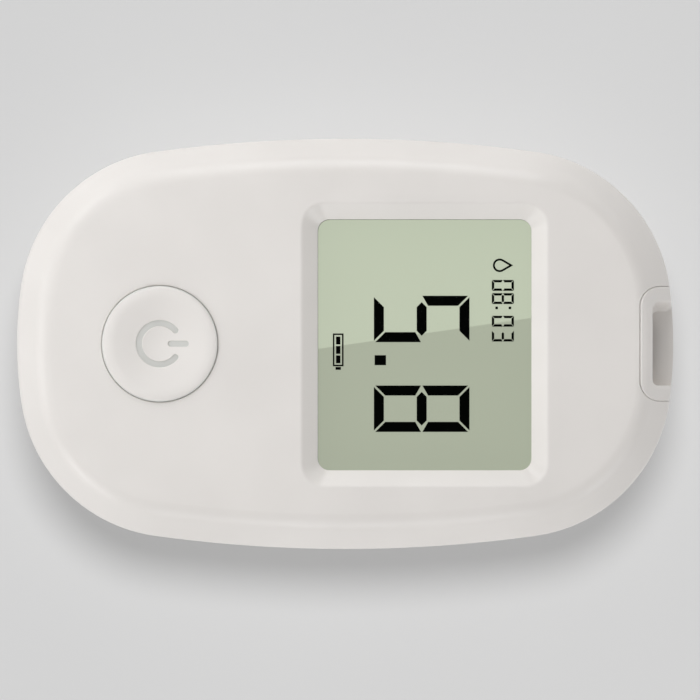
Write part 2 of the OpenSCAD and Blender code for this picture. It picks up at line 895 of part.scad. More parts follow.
// Battery gauge with three blocks, its long side across the display
module battery_gauge() {
    gauge_width = 1.5;
    gauge_length = 4.6;
    line = 0.22;
    block = 1.1;
    terminal = 0.4;
    terminal_gap = 0.1;
    difference() {
        translate([0, -gauge_length])
            square([gauge_width, gauge_length]);
        translate([line, line - gauge_length])
            square([gauge_width - 2 * line, gauge_length - 2 * line]);
    }
    for (i = [0 : 2])
        translate([2 * line, -2 * line - block - i * (block + line)])
            square([gauge_width - 4 * line, block]);
    translate([gauge_width / 4, -gauge_length - terminal_gap - terminal])
        square([gauge_width / 2, terminal]);
}

module lcd_holder() {
    rest_width = 1.2;
    pocket = [front_glass_length + 2 * slide_gap, glass_width + 2 * slide_gap];
    color("#dcdcd8")
    difference() {
        translate([front_glass_x, window_offset])
            slab(board_top, front_glass_top)
                square([holder_length, holder_width], center = true);
        translate([front_glass_x, window_offset])
            slab(lcd_bottom, front_glass_top + past)
                square(pocket, center = true);
        translate([window_x, window_offset])
            slab(board_top - past, lcd_bottom + past)
                square([glass_length - 2 * rest_width, glass_width - 2 * rest_width], center = true);
        translate([zebra_x, window_offset])
            slab(board_top - past, lcd_bottom + past)
                square([zebra_thickness + 2 * slide_gap, zebra_length + 2 * slide_gap], center = true);
    }
}

module zebra_connector() {
    color("#d8a9a0")
    translate([zebra_x, window_offset])
    slab(board_top, front_glass_bottom)
        square([zebra_thickness, zebra_length], center = true);
}

// ---------------------------------------------------------------- board and its parts

// Room between two parts on the underside of the board
part_gap = 2;

module circuit_board() {
    port_room = 2;
    color("#2f6b46")
    slab(board_bottom, board_top)
        difference() {
            polygon(outline(board_inset));
            translate([connector_end, -port_width / 2 - port_room])
                square([port_length + clean, port_width + 2 * port_room]);
            for (p = case_screw_places)
                translate(p)
                    circle(case_boss_radius + cell_clearance);
            for (p = board_screw_places)
                translate(p)
                    circle(board_screw_diameter / 2 + slide_gap);
            for (y = contact_places)
                translate([tail_x, y])
                    square(contact_leaf + 2 * seat_gap, center = true);
        }
}

module board_part(place, size) {
    translate([place[0] - size[0] / 2, place[1] - size[1] / 2, board_bottom - size[2]])
        cube(size);
}

module microcontroller() {
    color(black_color)
    board_part([0, 0], [controller_side, controller_side, controller_height]);
}

module memory_chip() {
    color(black_color)
    board_part([0, controller_side / 2 + part_gap + memory_width / 2],
               [memory_length, memory_width, memory_height]);
}

module crystal() {
    crystal_radius = crystal_diameter / 2;
    color(metal_color)
    translate([-crystal_length / 2, -controller_side / 2 - part_gap - crystal_radius,
               board_bottom - crystal_radius])
        rotate([0, 90, 0])
            cylinder(crystal_length, crystal_radius, crystal_radius);
}

module chip_capacitors() {
    columns = 6;
    pitch = cell_pitch * 2 / (columns + 1);
    row_y = bay_width / 2 + bay_wall + part_gap + capacitor_width;
    color("#a8825a")
    for (i = [0 : columns - 1], side = [-1, 1])
        board_part([pitch * (i - (columns - 1) / 2), side * row_y],
                   [capacitor_length, capacitor_width, capacitor_width]);
}

// Beside the board's edge, under the port end of the display
module buzzer() {
    buzzer_radius = buzzer_diameter / 2;
    sound_radius = 1;
    sound_depth = 1;
    edge_room = 1.25;
    color(black_color)
    translate([front_glass_x + holder_length / 2 - buzzer_diameter,
               buzzer_radius + edge_room + board_inset - half_width])
    difference() {
        slab(board_bottom - buzzer_height, board_bottom)
            circle(buzzer_radius);
        slab(board_bottom - buzzer_height - clean, board_bottom - buzzer_height + sound_depth)
            circle(sound_radius);
    }
}

module strip_connector() {
    channel_height = 1.2;
    front_wall = 1.2;
    back_wall = 2;
    slot_margin = 0.3;
    slot_top = strip_floor + strip_slot_height - slot_margin;
    color(black_color)
    difference() {
        slab(board_top, board_top + connector_height)
            translate([connector_start, -connector_width / 2])
                square([connector_length, connector_width]);
        slab(strip_floor, slot_top)
            translate([connector_start + back_wall, -strip_slot_width / 2])
                square([connector_length, strip_slot_width]);
        for (y = contact_places) {
            slab(slot_top - clean, slot_top + channel_height)
                translate([tail_x - contact_leaf, y - contact_leaf / 2 - seat_gap])
                    square([connector_length - front_wall, contact_leaf + 2 * seat_gap]);
            slab(board_top - past, slot_top + clean)
                translate([tail_x, y])
                    square(contact_leaf + 2 * seat_gap, center = true);
        }
    }
}

module strip_contacts() {
    leaf = 0.25;
    leaf_lift = 0.5;
    touch_height = 0.6;
    tip_depth = 3.5;
    bend_depth = 5;
    level_run = 2;
    tail_reach = 0.4;
    top = strip_floor + strip_slot_height + leaf_lift;
    touch = strip_floor + touch_height;
    tip = connector_end - tip_depth;
    bend = connector_end - bend_depth;
    tail_bottom = board_bottom - tail_reach;
    half = contact_leaf / 2;
    color(gold_color)
    for (y = contact_places)
        side_plate(y, contact_leaf)
            polygon([[tail_x - half, tail_bottom], [tail_x + half, tail_bottom], [tail_x + half, top - leaf],
                     [tail_x + level_run, top - leaf], [bend, touch], [tip, touch + leaf_lift],
                     [tip, touch + leaf_lift + leaf], [bend, touch + leaf], [tail_x + level_run, top],
                     [tail_x - half, top]]);
}

// ---------------------------------------------------------------- battery

module battery_door() {
    groove_count = 4;
    groove_pitch = 1.6;
    groove_depth = 0.4;
    groove_size = [0.8, 9];
    first_groove = 2.5;
    color(shell_color)
    difference() {
        union() {
            slab(back_height, door_top)
                round_rect(door_length, door_width, door_radius);
            for (side = [-1, 1])
                slab(door_top - tab_thickness, door_top)
                    translate([hinge_x - hinge_overlap, side * tab_y - tab_width / 2])
                        square([hinge_overlap + tab_reach, tab_width]);
            // Latch tongue, standing between the opening's edge and the bay
            slab(door_top - clean, door_top + latch_height)
                translate([latch_x, -latch_width / 2])
                    square([latch_thickness, latch_width]);
        }
        for (i = [0 : groove_count - 1])
            translate([first_groove + i * groove_pitch - door_length / 2, 0])
                slab(back_height - past, back_height + groove_depth)
                    square(groove_size, center = true);
    }
}

module coin_cell(side) {
    cap_height = 0.3;
    cap_inset = 1.1;
    color(metal_color)
    translate([side * cell_pitch / 2, 0]) {
        slab(cell_bottom, cell_top - cap_height)
            circle(cell_radius);
        slab(cell_top - cap_height, cell_top)
            circle(cell_radius - cap_inset);
    }
}

module coin_cell_a() {
    coin_cell(-1);
}

module coin_cell_b() {
    coin_cell(1);
}

// Leaf springs from the board down to the middle of each cell
module battery_negative_springs() {
    lift = 0.2;
    color(gold_color)
    for (side = [-1, 1])
        translate([side * cell_pitch / 2, 0])
            side_plate(0, spring_width)
                polygon([[-spring_reach, board_bottom], [-spring_reach, cell_top + lift],
                         [-pad_reach, cell_top], [pad_reach, cell_top],
                         [pad_reach, cell_top + spring_thickness], [-pad_reach, cell_top + spring_thickness],
                         [spring_thickness - spring_reach, cell_top + lift + spring_thickness],
                         [spring_thickness - spring_reach, board_bottom]]);
}

// Upright strips from the board down to the rim of each cell
module battery_positive_contacts() {
    color(gold_color)
    for (side = [-1, 1])
        slab(cell_bottom + cell_clearance, board_bottom)
            translate([side * cell_pitch / 2 - contact_width / 2, cell_radius + contact_gap])
                square([contact_width, contact_thickness]);
}

// ---------------------------------------------------------------- fasteners and feet

module case_screws() {
    cross_reach = 0.9;
    cross_width = 0.5;
    cross_depth = 0.8;
    cross_bottom = head_seat - case_head_height;
    color(metal_color)
    for (p = case_screw_places)
        translate(p)
            difference() {
                union() {
                    slab(head_seat - case_head_height, head_seat)
                        circle(case_head_radius);
                    slab(head_seat - clean, head_seat + case_screw_length)
                        circle(case_screw_diameter / 2);
                }
                for (turn = [0, 90])
                    rotate(turn)
                        slab(cross_bottom - clean, cross_bottom + cross_depth)
                            square([2 * cross_reach, cross_width], center = true);
            }
}

module board_screws() {
    color(metal_color)
    for (p = board_screw_places)
        translate(p) {
            slab(board_bottom - board_head_height, board_bottom)
                circle(board_head_radius);
            slab(board_bottom - clean, board_bottom + board_screw_length)
                circle(board_screw_diameter / 2);
        }
}

module foot_pads() {
    color("#c9c9c6")
    for (p = case_screw_places)
        translate(p)
            slab(0, foot_thickness)
                circle(foot_diameter / 2);
}

top_shell();
bottom_shell();
strip_port();
button_cap();
window_lens();
lens_adhesive();
lcd_polarizer();
lcd_front_glass();
lcd_rear_glass();
lcd_seal();
lcd_segments();
lcd_reflector();
lcd_holder();
zebra_connector();
circuit_board();
switch_body();
switch_cover();
switch_plunger();
microcontroller();
memory_chip();
crystal();
chip_capacitors();
buzzer();
strip_connector();
strip_contacts();
battery_door();
coin_cell_a();
coin_cell_b();
battery_negative_springs();
battery_positive_contacts();
case_screws();
board_screws();
foot_pads();
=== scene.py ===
"""Blood glucose meter lying on its back with the display up: the surfaces and finishes of its pieces.

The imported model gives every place. X runs along the body towards the strip port, Y across it and Z out
of the display. Sizes are in millimetres and become metres where a mesh is made.
"""

import bpy
import numpy as np
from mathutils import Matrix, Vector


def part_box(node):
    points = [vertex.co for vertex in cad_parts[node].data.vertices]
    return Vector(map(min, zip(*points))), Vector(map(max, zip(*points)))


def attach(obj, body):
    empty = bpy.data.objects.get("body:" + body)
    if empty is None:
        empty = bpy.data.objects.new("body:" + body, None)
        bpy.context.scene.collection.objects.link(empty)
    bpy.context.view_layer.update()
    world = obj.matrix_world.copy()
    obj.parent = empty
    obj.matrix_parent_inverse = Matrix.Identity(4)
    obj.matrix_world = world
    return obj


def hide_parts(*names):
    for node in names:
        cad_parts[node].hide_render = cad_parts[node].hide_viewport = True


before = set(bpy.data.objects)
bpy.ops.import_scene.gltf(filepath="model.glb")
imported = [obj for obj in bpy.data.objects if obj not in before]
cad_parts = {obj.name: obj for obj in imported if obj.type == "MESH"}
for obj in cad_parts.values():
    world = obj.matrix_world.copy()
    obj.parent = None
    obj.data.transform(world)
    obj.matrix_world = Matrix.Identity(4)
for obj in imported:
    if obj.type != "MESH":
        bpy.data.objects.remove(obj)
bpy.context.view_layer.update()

# ---------------------------------------------------------------- back shell
# Lower half of the casing: off-white ABS, injection moulded with a fine satin texture, walls 1.8 mm thick.
# A tongue round its edge locates the front shell. The battery bay, the screw bosses and the recesses
# for the feet are moulded in, and a shallow hollow beside the door lets a fingertip reach it.

MM = 0.001
half_length, half_width, tongue_top = np.array(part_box("bottom_shell")[1]) / MM
back, parting, face = np.array([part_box("bottom_shell")[0], *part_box("top_shell")])[:, 2] / MM
side_radius, end_radius, corner_radius = 194, 57, 22
wall, past, edge_round = 1.8, 1.0, 0.22
back_width, back_rise = 7.0, 6.5
tongue_inset = 1.0
side_centre = np.array([0, half_width - side_radius])
end_centre = np.array([half_length - end_radius, 0])


def corner_middle():
    """Centre of the corner arc: the crossing of two circles, each a corner radius smaller than
    the side arc or the end arc and about the same centre."""
    apart = np.linalg.norm(end_centre - side_centre)
    side_reach, end_reach = side_radius - corner_radius, end_radius - corner_radius
    along = (side_reach**2 - end_reach**2 + apart**2) / (2 * apart)
    across = np.sqrt(side_reach**2 - along**2)
    towards = (end_centre - side_centre) / apart
    return side_centre + along * towards + across * np.array([towards[1], -towards[0]])


corner_centre = corner_middle()
end_angle = np.arctan2(*(corner_centre - end_centre)[::-1])
side_angle = np.arctan2(*(corner_centre - side_centre)[::-1])


def arc(centre, radius, start, stop, steps):
    """Points along an arc with their outward normals, as rows of x, y, normal x, normal y."""
    angles = np.linspace(start, stop, steps + 1)
    normal = np.column_stack([np.cos(angles), np.sin(angles)])
    return np.hstack([np.array(centre) + radius * normal, normal])


def body_plan(end_steps=10, corner_steps=40, side_steps=24):
    """Outline of the body: eight arcs, each tangent to the next, anticlockwise from the port end.
    One quarter is worked out and mirrored into the other three."""
    quarter = np.vstack([arc(end_centre, end_radius, 0, end_angle, end_steps)[:-1],
                         arc(corner_centre, corner_radius, end_angle, side_angle, corner_steps)[:-1],
                         arc(side_centre, side_radius, side_angle, np.pi / 2, side_steps)])
    forth, back_again = quarter[:-1], quarter[:0:-1]
    return np.vstack([forth, back_again * [-1, 1, -1, 1], -forth, back_again * [1, -1, 1, -1]])


def circle(centre, steps=64):
    """Plan of radius zero with normals all round, so that an offset is a radius."""
    return arc(centre, 0, 0, 2 * np.pi, steps)[:-1]


def rounded(centre, length, width, radius, steps=8, along=1):
    """Plan of a rectangle with round corners, anticlockwise, its straight sides in equal parts."""
    half = np.array([length, width]) / 2 - radius
    parts = []
    for turn, sign in zip(range(4), np.array([[1, 1], [-1, 1], [-1, -1], [1, -1]])):
        start = turn * np.pi / 2
        corner = arc(centre + half * sign, radius, start, start + np.pi / 2, steps)
        run = 2 * half[turn % 2] * np.array([-corner[-1, 3], corner[-1, 2], 0, 0])
        parts += [corner, corner[-1] + np.linspace(0, 1, along + 1)[1:-1, None] * run]
    return np.vstack(parts)


def ring(plan, offset, height):
    """One level of a solid: the plan moved out by offset, at one height or at a height for each place."""
    flat = plan[:, :2] + offset * plan[:, 2:]
    return np.column_stack([flat, height(flat) if callable(height) else np.full(len(flat), height)])


def through(plan, profile):
    """Levels of one plan through (offset, height) pairs, from the bottom face round to the top one."""
    return np.array([ring(plan, offset, height) for offset, height in profile])


def solid(name, *stacks):
    """One object of closed solids. Each is a stack of anticlockwise levels with equal counts: neighbouring
    levels are joined by quads, and the first and last level are closed by one face each."""
    points, faces, start = [], [], 0
    for stack in stacks:
        levels, count = stack.shape[:2]
        index = start + np.arange(levels * count).reshape(levels, count)
        after = np.roll(index, -1, axis=1)
        faces += np.stack([index[:-1], after[:-1], after[1:], index[1:]], axis=-1).reshape(-1, 4).tolist()
        faces += [index[0, ::-1].tolist(), index[-1].tolist()]
        points.append(stack.reshape(-1, 3))
        start += levels * count
    mesh = bpy.data.meshes.new(name)
    mesh.from_pydata(np.vstack(points) * MM, [], faces)
    piece = bpy.data.objects.new(name, mesh)
    bpy.context.scene.collection.objects.link(piece)
    return piece


def block(low, high):
    """Levels of a square-edged block between two corners."""
    (x0, y0, z0), (x1, y1, z1) = low, high
    plan = np.array([[x1, y0], [x1, y1], [x0, y1], [x0, y0]])
    return np.array([np.column_stack([plan, np.full(4, z)]) for z in (z0, z1)])


def combine(piece, operation, *stacks):
    """Joins solids to a piece, cuts them out of it or keeps what they share with it."""
    for number, stack in enumerate(stacks):
        other = solid(f"{piece.name}_{number}", stack)
        step = piece.modifiers.new(other.name, "BOOLEAN")
        step.operation, step.solver, step.object = operation, "MANIFOLD", other
    made = piece.evaluated_get(bpy.context.evaluated_depsgraph_get())
    mesh = bpy.data.meshes.new_from_object(made)
    for step in piece.modifiers:
        bpy.data.objects.remove(step.object)
    piece.modifiers.clear()
    piece.data = mesh


def bend(radius, steps=5, stop=90):
    """Quarter round that starts upright and ends level: (radius (1 - cos t), radius sin t)."""
    t = np.radians(np.linspace(0, stop, steps + 1))
    return radius * np.column_stack([1 - np.cos(t), np.sin(t)])


def border(inset, width, rise, level, steps=20):
    """Quarter ellipse from the upright wall to the flat face, as (offset, height) pairs."""
    t = np.linspace(0, np.pi / 2, steps + 1)
    return np.column_stack([-inset - width * (1 - np.cos(t)), level + rise * np.sin(t)])


def add(tree, kind, settings=None, sockets=None):
    """Adds a shader node with its own settings, and gives each named socket a value or a link."""
    node = tree.nodes.new("ShaderNode" + kind)
    for key, value in (settings or {}).items():
        setattr(node, key, value)
    for key, value in (sockets or {}).items():
        if isinstance(value, bpy.types.NodeSocket):
            tree.links.new(value, node.inputs[key])
        else:
            node.inputs[key].default_value = value
    return node


def linear(code):
    """Linear colour of an sRGB hex code, with alpha 1."""
    s = np.array([int(code[i : i + 2], 16) for i in (1, 3, 5)]) / 255
    return (*np.where(s <= 0.04045, s / 12.92, ((s + 0.055) / 1.055) ** 2.4).tolist(), 1.0)


def surface(name, sockets=None):
    """A new material with one Principled shader."""
    material = bpy.data.materials.new(name)
    material.use_nodes = True
    tree = material.node_tree
    tree.nodes.clear()
    shader = add(tree, "BsdfPrincipled", sockets=sockets)
    add(tree, "OutputMaterial", sockets={"Surface": shader.outputs[0]})
    return material, tree, shader


def patches(tree, size, detail=2.0, stretch=(1, 1, 1)):
    """Cloudy patches about size mm across on Object coordinates, drawn out where stretch is under 1."""
    place = add(tree, "TexCoord").outputs["Object"]
    place = add(tree, "Mapping", sockets={"Vector": place, "Scale": stretch}).outputs[0]
    noise = add(tree, "TexNoise", sockets={"Vector": place, "Scale": 1 / (size * MM), "Detail": detail})
    return noise.outputs[0]


def tint(tree, shader, size, colour, shade, **look):
    """Base colour that drifts between two shades over size mm."""
    drift = add(tree, "MapRange", sockets={"Value": patches(tree, size, **look),
                                           "From Min": 0.35, "From Max": 0.65})
    mix = add(tree, "Mix", {"data_type": "RGBA"}, {0: drift.outputs[0], 6: linear(colour), 7: linear(shade)})
    tree.links.new(mix.outputs[2], shader.inputs["Base Color"])


def roughen(tree, shader, size, smooth, rough, **look):
    """Roughness that wanders between two values over size mm."""
    wander = add(tree, "MapRange", sockets={"Value": patches(tree, size, **look), "From Min": 0.3,
                                            "From Max": 0.7, "To Min": smooth, "To Max": rough})
    tree.links.new(wander.outputs[0], shader.inputs["Roughness"])


def grain(tree, shader, size, depth, **look):
    """Bumps about size mm across and depth mm high."""
    bump = add(tree, "Bump", sockets={"Height": patches(tree, size, **look), "Distance": depth * MM})
    tree.links.new(bump.outputs[0], shader.inputs["Normal"])


def casing_plastic(name, colour, shade):
    """ABS from a spark-eroded mould: an even satin sheen, a faint drift of shade over centimetres, and
    a grain under 0.1 mm, drawn 0.3 mm wide so that it just shows."""
    material, tree, shader = surface(name, {"IOR": 1.53})
    tint(tree, shader, 15, colour, shade)
    roughen(tree, shader, 4, 0.31, 0.37)
    grain(tree, shader, 0.3, 0.0015)
    return material


def wear(piece, material):
    """Gives a piece its material, keeps edges over 30 degrees, and lets large faces lead the normals."""
    piece.data.materials.clear()
    piece.data.materials.append(material)
    piece.data.shade_smooth()
    piece.data.set_sharp_from_angle(angle=np.radians(30))
    weigh = piece.modifiers.new("normals", "WEIGHTED_NORMAL")
    weigh.keep_sharp = True


def fit(piece, body, slot, *nodes):
    """A piece rides on a body and stands for these nodes. Its slot is not used."""
    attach(piece, body)
    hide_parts(*nodes)


outline = body_plan()
outside = [*border(0, back_width, -back_rise, back + back_rise)[::-1],
           *(bend(edge_round) * [-1, 1] + [0, parting - edge_round]),
           (-tongue_inset, parting), (-tongue_inset, tongue_top)]
inside = [*border(wall, back_width - wall, wall - back_rise, back + back_rise)[::-1],
          (-wall, tongue_top + past)]
floor_level = back + wall

bay_length, bay_width, bay_wall, bay_ceiling = 41.8, 21.2, 1.0, 6.3
opening_length, opening_width, opening_radius, door_top = 46.8, 25.2, 3.2, back + 1.6
cell_x, cell_radius = 10.6, 10.0
bay_outer = np.array([bay_length, bay_width]) / 2 + bay_wall
boss_radius, foot_radius, foot_recess = 2.8, 3.0, 0.4
foot_place = np.array(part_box("foot_pads")[1])[:2] / MM - foot_radius
foot_places = [foot_place * sign for sign in ((1, 1), (-1, 1), (-1, -1), (1, -1))]
head_seat, head_room, shank_room = 3.2, 2.25, 1.25
scoop_x, scoop_radius, scoop_top = -25.4, 9.0, back + 0.9
latch_deep, latch_half = 1.5, 4.3
hinge_x, tab_y, pocket_half, pocket_deep, pocket_lead, pocket_room = 23.2, 7.5, 1.8, 1.9, 0.5, 1.6
spring_slot, spring_half, rim_slot, rim_half = (5.3, 4.4), 2.3, (-0.12, 0.58), 2.35
slot_low, slot_high = 0.5, 1.5


def notch(x, width, radius, steps=12, along=24):
    """Plan of the strip port's outline: two round corners at x, then straight sides past the port end."""
    end, half = half_length + past, width / 2 - radius
    upper = arc((x + radius, half), radius, np.pi / 2, np.pi, steps)
    lower = arc((x + radius, -half), radius, np.pi, 1.5 * np.pi, steps)
    run = np.linspace(0, 1, along + 1)[1:, None] * (end - x - radius) * [1, 0, 0, 0]
    across = np.linspace(upper[-1], lower[0], along + 1)[1:-1]
    return np.vstack([upper[0] + run[::-1], upper, across, lower, lower[-1] + run])


port_x, port_width, port_radius, port_gap = 41.2, 16.1, 2.8, 0.02
port_hole = notch(port_x - port_gap, port_width + 2 * port_gap, port_radius + port_gap)

back_shell = solid("back_shell", through(outline, outside))
combine(back_shell, "DIFFERENCE", through(outline, inside),
        through(port_hole, [(0, parting), (0, tongue_top + past)]))
combine(back_shell, "UNION", block((*-bay_outer, floor_level - 0.5), (*bay_outer, bay_ceiling + bay_wall)),
        *[through(circle(p), [(boss_radius, floor_level - 0.5), (boss_radius, parting - 0.1)])
          for p in foot_places])
scoop_angles = np.radians(np.linspace(35, 89.5, 12))
scoop = np.column_stack([scoop_radius * np.cos(scoop_angles),
                         scoop_top - scoop_radius * (1 - np.sin(scoop_angles))])
cuts = [through(rounded((0, 0), opening_length, opening_width, opening_radius),
                [(0.2, back - past), (0.2, back), *(bend(0.2)[::-1] * [1, -1] + [0, back + 0.2]),
                 (0, door_top + 0.1)]),
        block((-bay_length / 2, -bay_width / 2, back - past), (bay_length / 2, bay_width / 2, bay_ceiling)),
        block((-opening_length / 2, -latch_half, door_top),
              (latch_deep - opening_length / 2, latch_half, floor_level + 0.5)),
        through(circle((scoop_x, 0)), scoop)]
for side in (-1, 1):
    cell, tab = side * cell_x, side * tab_y
    cuts += [block((cell - spring_slot[0], -spring_half, bay_ceiling - slot_low),
                   (cell - spring_slot[1], spring_half, bay_ceiling + slot_high)),
             block((cell - rim_half, cell_radius + rim_slot[0], bay_ceiling - slot_low),
                   (cell + rim_half, cell_radius + rim_slot[1], bay_ceiling + slot_high)),
             block((hinge_x - pocket_lead, tab - pocket_half, door_top - pocket_room / 2),
                   (hinge_x + pocket_deep, tab + pocket_half, floor_level + past)),
             block((hinge_x - pocket_deep, tab - pocket_half, door_top),
                   (hinge_x + pocket_deep, tab + pocket_half, door_top + pocket_room))]
for place in foot_places:
    foot_hole = foot_radius + 0.15
    cuts += [through(circle(place), [(foot_hole + 0.1, back - past), (foot_hole + 0.1, back - 0.05),
                                     (foot_hole, back + 0.05), (foot_hole, back + foot_recess)]),
             through(circle(place), [(head_room, back), (head_room, head_seat)]),
             through(circle(place), [(shank_room, back + past), (shank_room, parting + past)])]
combine(back_shell, "DIFFERENCE", *cuts)
casing = casing_plastic("satin_abs_casing", "#eeeae6", "#eae6e2")
wear(back_shell, casing)
fit(back_shell, "root", "shell", "bottom_shell")

# ---------------------------------------------------------------- battery contacts
# Phosphor bronze strip, stamped, bent and gold plated: a spring to each cell's cap, a strip to its rim.
# The test strip's contacts are made of the same strip.


def dress(material, *nodes):
    """Gives CAD nodes whose shape is right a better material."""
    for node in nodes:
        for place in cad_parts[node].material_slots:
            place.material = material


gold, tree, shader = surface("gold_plated_bronze", {"Metallic": 1.0})
# Rolling marks run along the strip, 0.2 mm apart under the thin plating.
tint(tree, shader, 0.2, "#dcb964", "#c9a24c", stretch=(1, 0.1, 0.1))
roughen(tree, shader, 0.8, 0.2, 0.34)
grain(tree, shader, 0.2, 0.0008, stretch=(1, 0.1, 0.1))
dress(gold, "battery_negative_springs", "battery_positive_contacts", "strip_contacts")

# ---------------------------------------------------------------- circuit board and its parts
# Glass-fibre board under green solder resist. The controller, the memory, the crystal, the capacitors and
# the buzzer hang from its underside; the display, the switch and the strip connector stand on top.

resist, tree, shader = surface("green_solder_resist",
                               {"IOR": 1.5, "Coat Weight": 0.4, "Coat Roughness": 0.15})
# Copper tracks under the resist show as lighter lines about 0.4 mm wide; the weave below makes it dapple.
place = add(tree, "TexCoord").outputs["Object"]
cells = add(tree, "TexVoronoi", {"feature": "DISTANCE_TO_EDGE"}, {"Vector": place, "Scale": 1 / (3.5 * MM)})
track = add(tree, "MapRange", sockets={"Value": cells.outputs["Distance"], "From Min": 0.05, "From Max": 0.09,
                                       "To Min": 1.0, "To Max": 0.0})
green = add(tree, "Mix", {"data_type": "RGBA"},
            {0: track.outputs[0], 6: linear("#1d5c39"), 7: linear("#35805a")})
tree.links.new(green.outputs[2], shader.inputs["Base Color"])
roughen(tree, shader, 2.0, 0.25, 0.38)
raised = add(tree, "Bump", sockets={"Height": track.outputs[0], "Distance": 0.02 * MM})
tree.links.new(raised.outputs[0], shader.inputs["Normal"])
dress(resist, "circuit_board")

black, tree, shader = surface("black_moulded_plastic", {"IOR": 1.55})
# Filled moulding compound: a dull, slightly pitted skin with greyer patches where it flowed.
tint(tree, shader, 1.8, "#242527", "#303133")
roughen(tree, shader, 0.9, 0.42, 0.6)
grain(tree, shader, 0.12, 0.004)
dress(black, "microcontroller", "memory_chip", "buzzer", "strip_connector", "switch_body", "switch_plunger")

can_steel, tree, shader = surface("tinned_steel", {"Metallic": 1.0})
# Drawn can and stamped cover: duller than the plated screws, with cloudy tinning.
tint(tree, shader, 0.8, "#bcbdbf", "#a7a9ab")
roughen(tree, shader, 0.6, 0.3, 0.45)
grain(tree, shader, 0.3, 0.001)
dress(can_steel, "crystal", "switch_cover")

ceramic, tree, shader = surface("fired_ceramic_with_tinned_ends", {"IOR": 1.7})
# Brown fired body with fine speckles; its dipped ends are not drawn apart from the body.
tint(tree, shader, 0.25, "#a88359", "#8f6c47", detail=4.0)
roughen(tree, shader, 0.4, 0.3, 0.5)
grain(tree, shader, 0.12, 0.003)
dress(ceramic, "chip_capacitors")

stripes, tree, shader = surface("striped_silicone", {"IOR": 1.41})
# Layers of clear pink and carbon-filled silicone lie across it, drawn 0.4 mm apart.
place = add(tree, "TexCoord").outputs["Object"]
layers = add(tree, "TexWave", {"bands_direction": "Y"}, {"Vector": place, "Scale": 0.314 / (0.4 * MM)})
layer = add(tree, "Mix", {"data_type": "RGBA"},
            {0: layers.outputs["Fac"], 6: linear("#e0b3aa"), 7: linear("#3a3433")})
tree.links.new(layer.outputs[2], shader.inputs["Base Color"])
roughen(tree, shader, 0.7, 0.45, 0.6)
grain(tree, shader, 0.2, 0.002)
dress(stripes, "zebra_connector")

frame_plastic, tree, shader = surface("matt_abs_holder", {"IOR": 1.53})
# Plain matt moulding without the casing's texture; it keeps faint flow lines a few millimetres apart.
tint(tree, shader, 3, "#deded9", "#d2d2cc", stretch=(0.4, 1, 1))
roughen(tree, shader, 1.5, 0.5, 0.62)
grain(tree, shader, 0.25, 0.003)
dress(frame_plastic, "lcd_holder")

# ---------------------------------------------------------------- liquid crystal display
# Two thin glasses with the liquid crystal between them, a polarizer in front and one with a reflector
# behind. Each sheet is drawn 0.01 mm thinner than its place, so that no two faces share a plane.


def sheet(name, node, material, slot, gap=0.01):
    """The node's own shape with each side of its box drawn in by gap mm."""
    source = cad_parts[node]
    mesh = source.data.copy()
    points = np.empty(3 * len(mesh.vertices))
    mesh.vertices.foreach_get("co", points)
    low, high = np.array(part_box(node))
    points = points.reshape(-1, 3)
    middle = (low + high) / 2
    points = middle + (points - middle) * (1 - 2 * gap * MM / (high - low))
    mesh.vertices.foreach_set("co", points.ravel())
    piece = bpy.data.objects.new(name, mesh)
    bpy.context.scene.collection.objects.link(piece)
    mesh.materials.clear()
    mesh.materials.append(material)
    fit(piece, "root", slot, node)
    return piece


def let_light_through(piece):
    """Light and mirrored rays pass a clear sheet freely; only the camera sees its faint surface."""
    piece.visible_shadow = piece.visible_diffuse = piece.visible_glossy = False


ground, tree, shader = surface("grey_green_ground_with_painted_glow", {
    "IOR": 1.5, "Specular IOR Level": 1.0, "Specular Tint": (0.87, 1.0, 0.76, 1.0),
    "Emission Color": linear("#a6ac9a"), "Emission Strength": 1.0})
# The reflector seen through the rear glass: a satin grey-green with a trace of cloudiness, under a
# polished surface that mirrors the lamp above. Its emission is painted light: a glow that keeps it
# evenly bright up to its edges, where the window's frame would shade it.
tint(tree, shader, 6, "#3d4036", "#3b3e34")
roughen(tree, shader, 5, 0.0, 0.006)
sheet("display_rear_glass", "lcd_rear_glass", ground, "display_glass")

film, tree, shader = surface("reflective_film", {"IOR": 1.5})
# Embossed metallised film: silvery green with fine streaks from rolling.
tint(tree, shader, 0.6, "#bcc4b2", "#aeb6a4", stretch=(0.1, 1, 1))
roughen(tree, shader, 1, 0.3, 0.42)
grain(tree, shader, 0.2, 0.001)
sheet("display_reflector", "lcd_reflector", film, "reflector")

resin, tree, shader = surface("cured_seal_resin", {"IOR": 1.5})
# Screen-printed resin bead, slightly cloudy with tiny spacer specks.
tint(tree, shader, 0.3, "#96a190", "#8a9584", detail=4.0)
roughen(tree, shader, 0.5, 0.35, 0.5)
sheet("display_seal", "lcd_seal", resin, "seal")

dark, tree, shader = surface("switched_liquid_crystal", {"IOR": 1.5, "Specular IOR Level": 0.0})
# Switched crystal between crossed polarizers lets almost nothing back, so it is nearly pure black.
tint(tree, shader, 2, "#020302", "#030403")
roughen(tree, shader, 2, 0.5, 0.6)
sheet("display_segments", "lcd_segments", dark, "segments")

glass, tree, shader = surface("polished_display_glass", {"IOR": 1.5, "Alpha": 0.002})
# Clear float glass; the alpha stands for the little that its two faces and its greenish body take away.
tint(tree, shader, 8, "#3c443a", "#38403a")
roughen(tree, shader, 6, 0.02, 0.05)
let_light_through(sheet("display_front_glass", "lcd_front_glass", glass, "display_glass"))

polarizer, tree, shader = surface("polarizer_film", {"IOR": 1.5, "Specular IOR Level": 0.2, "Alpha": 0.002})
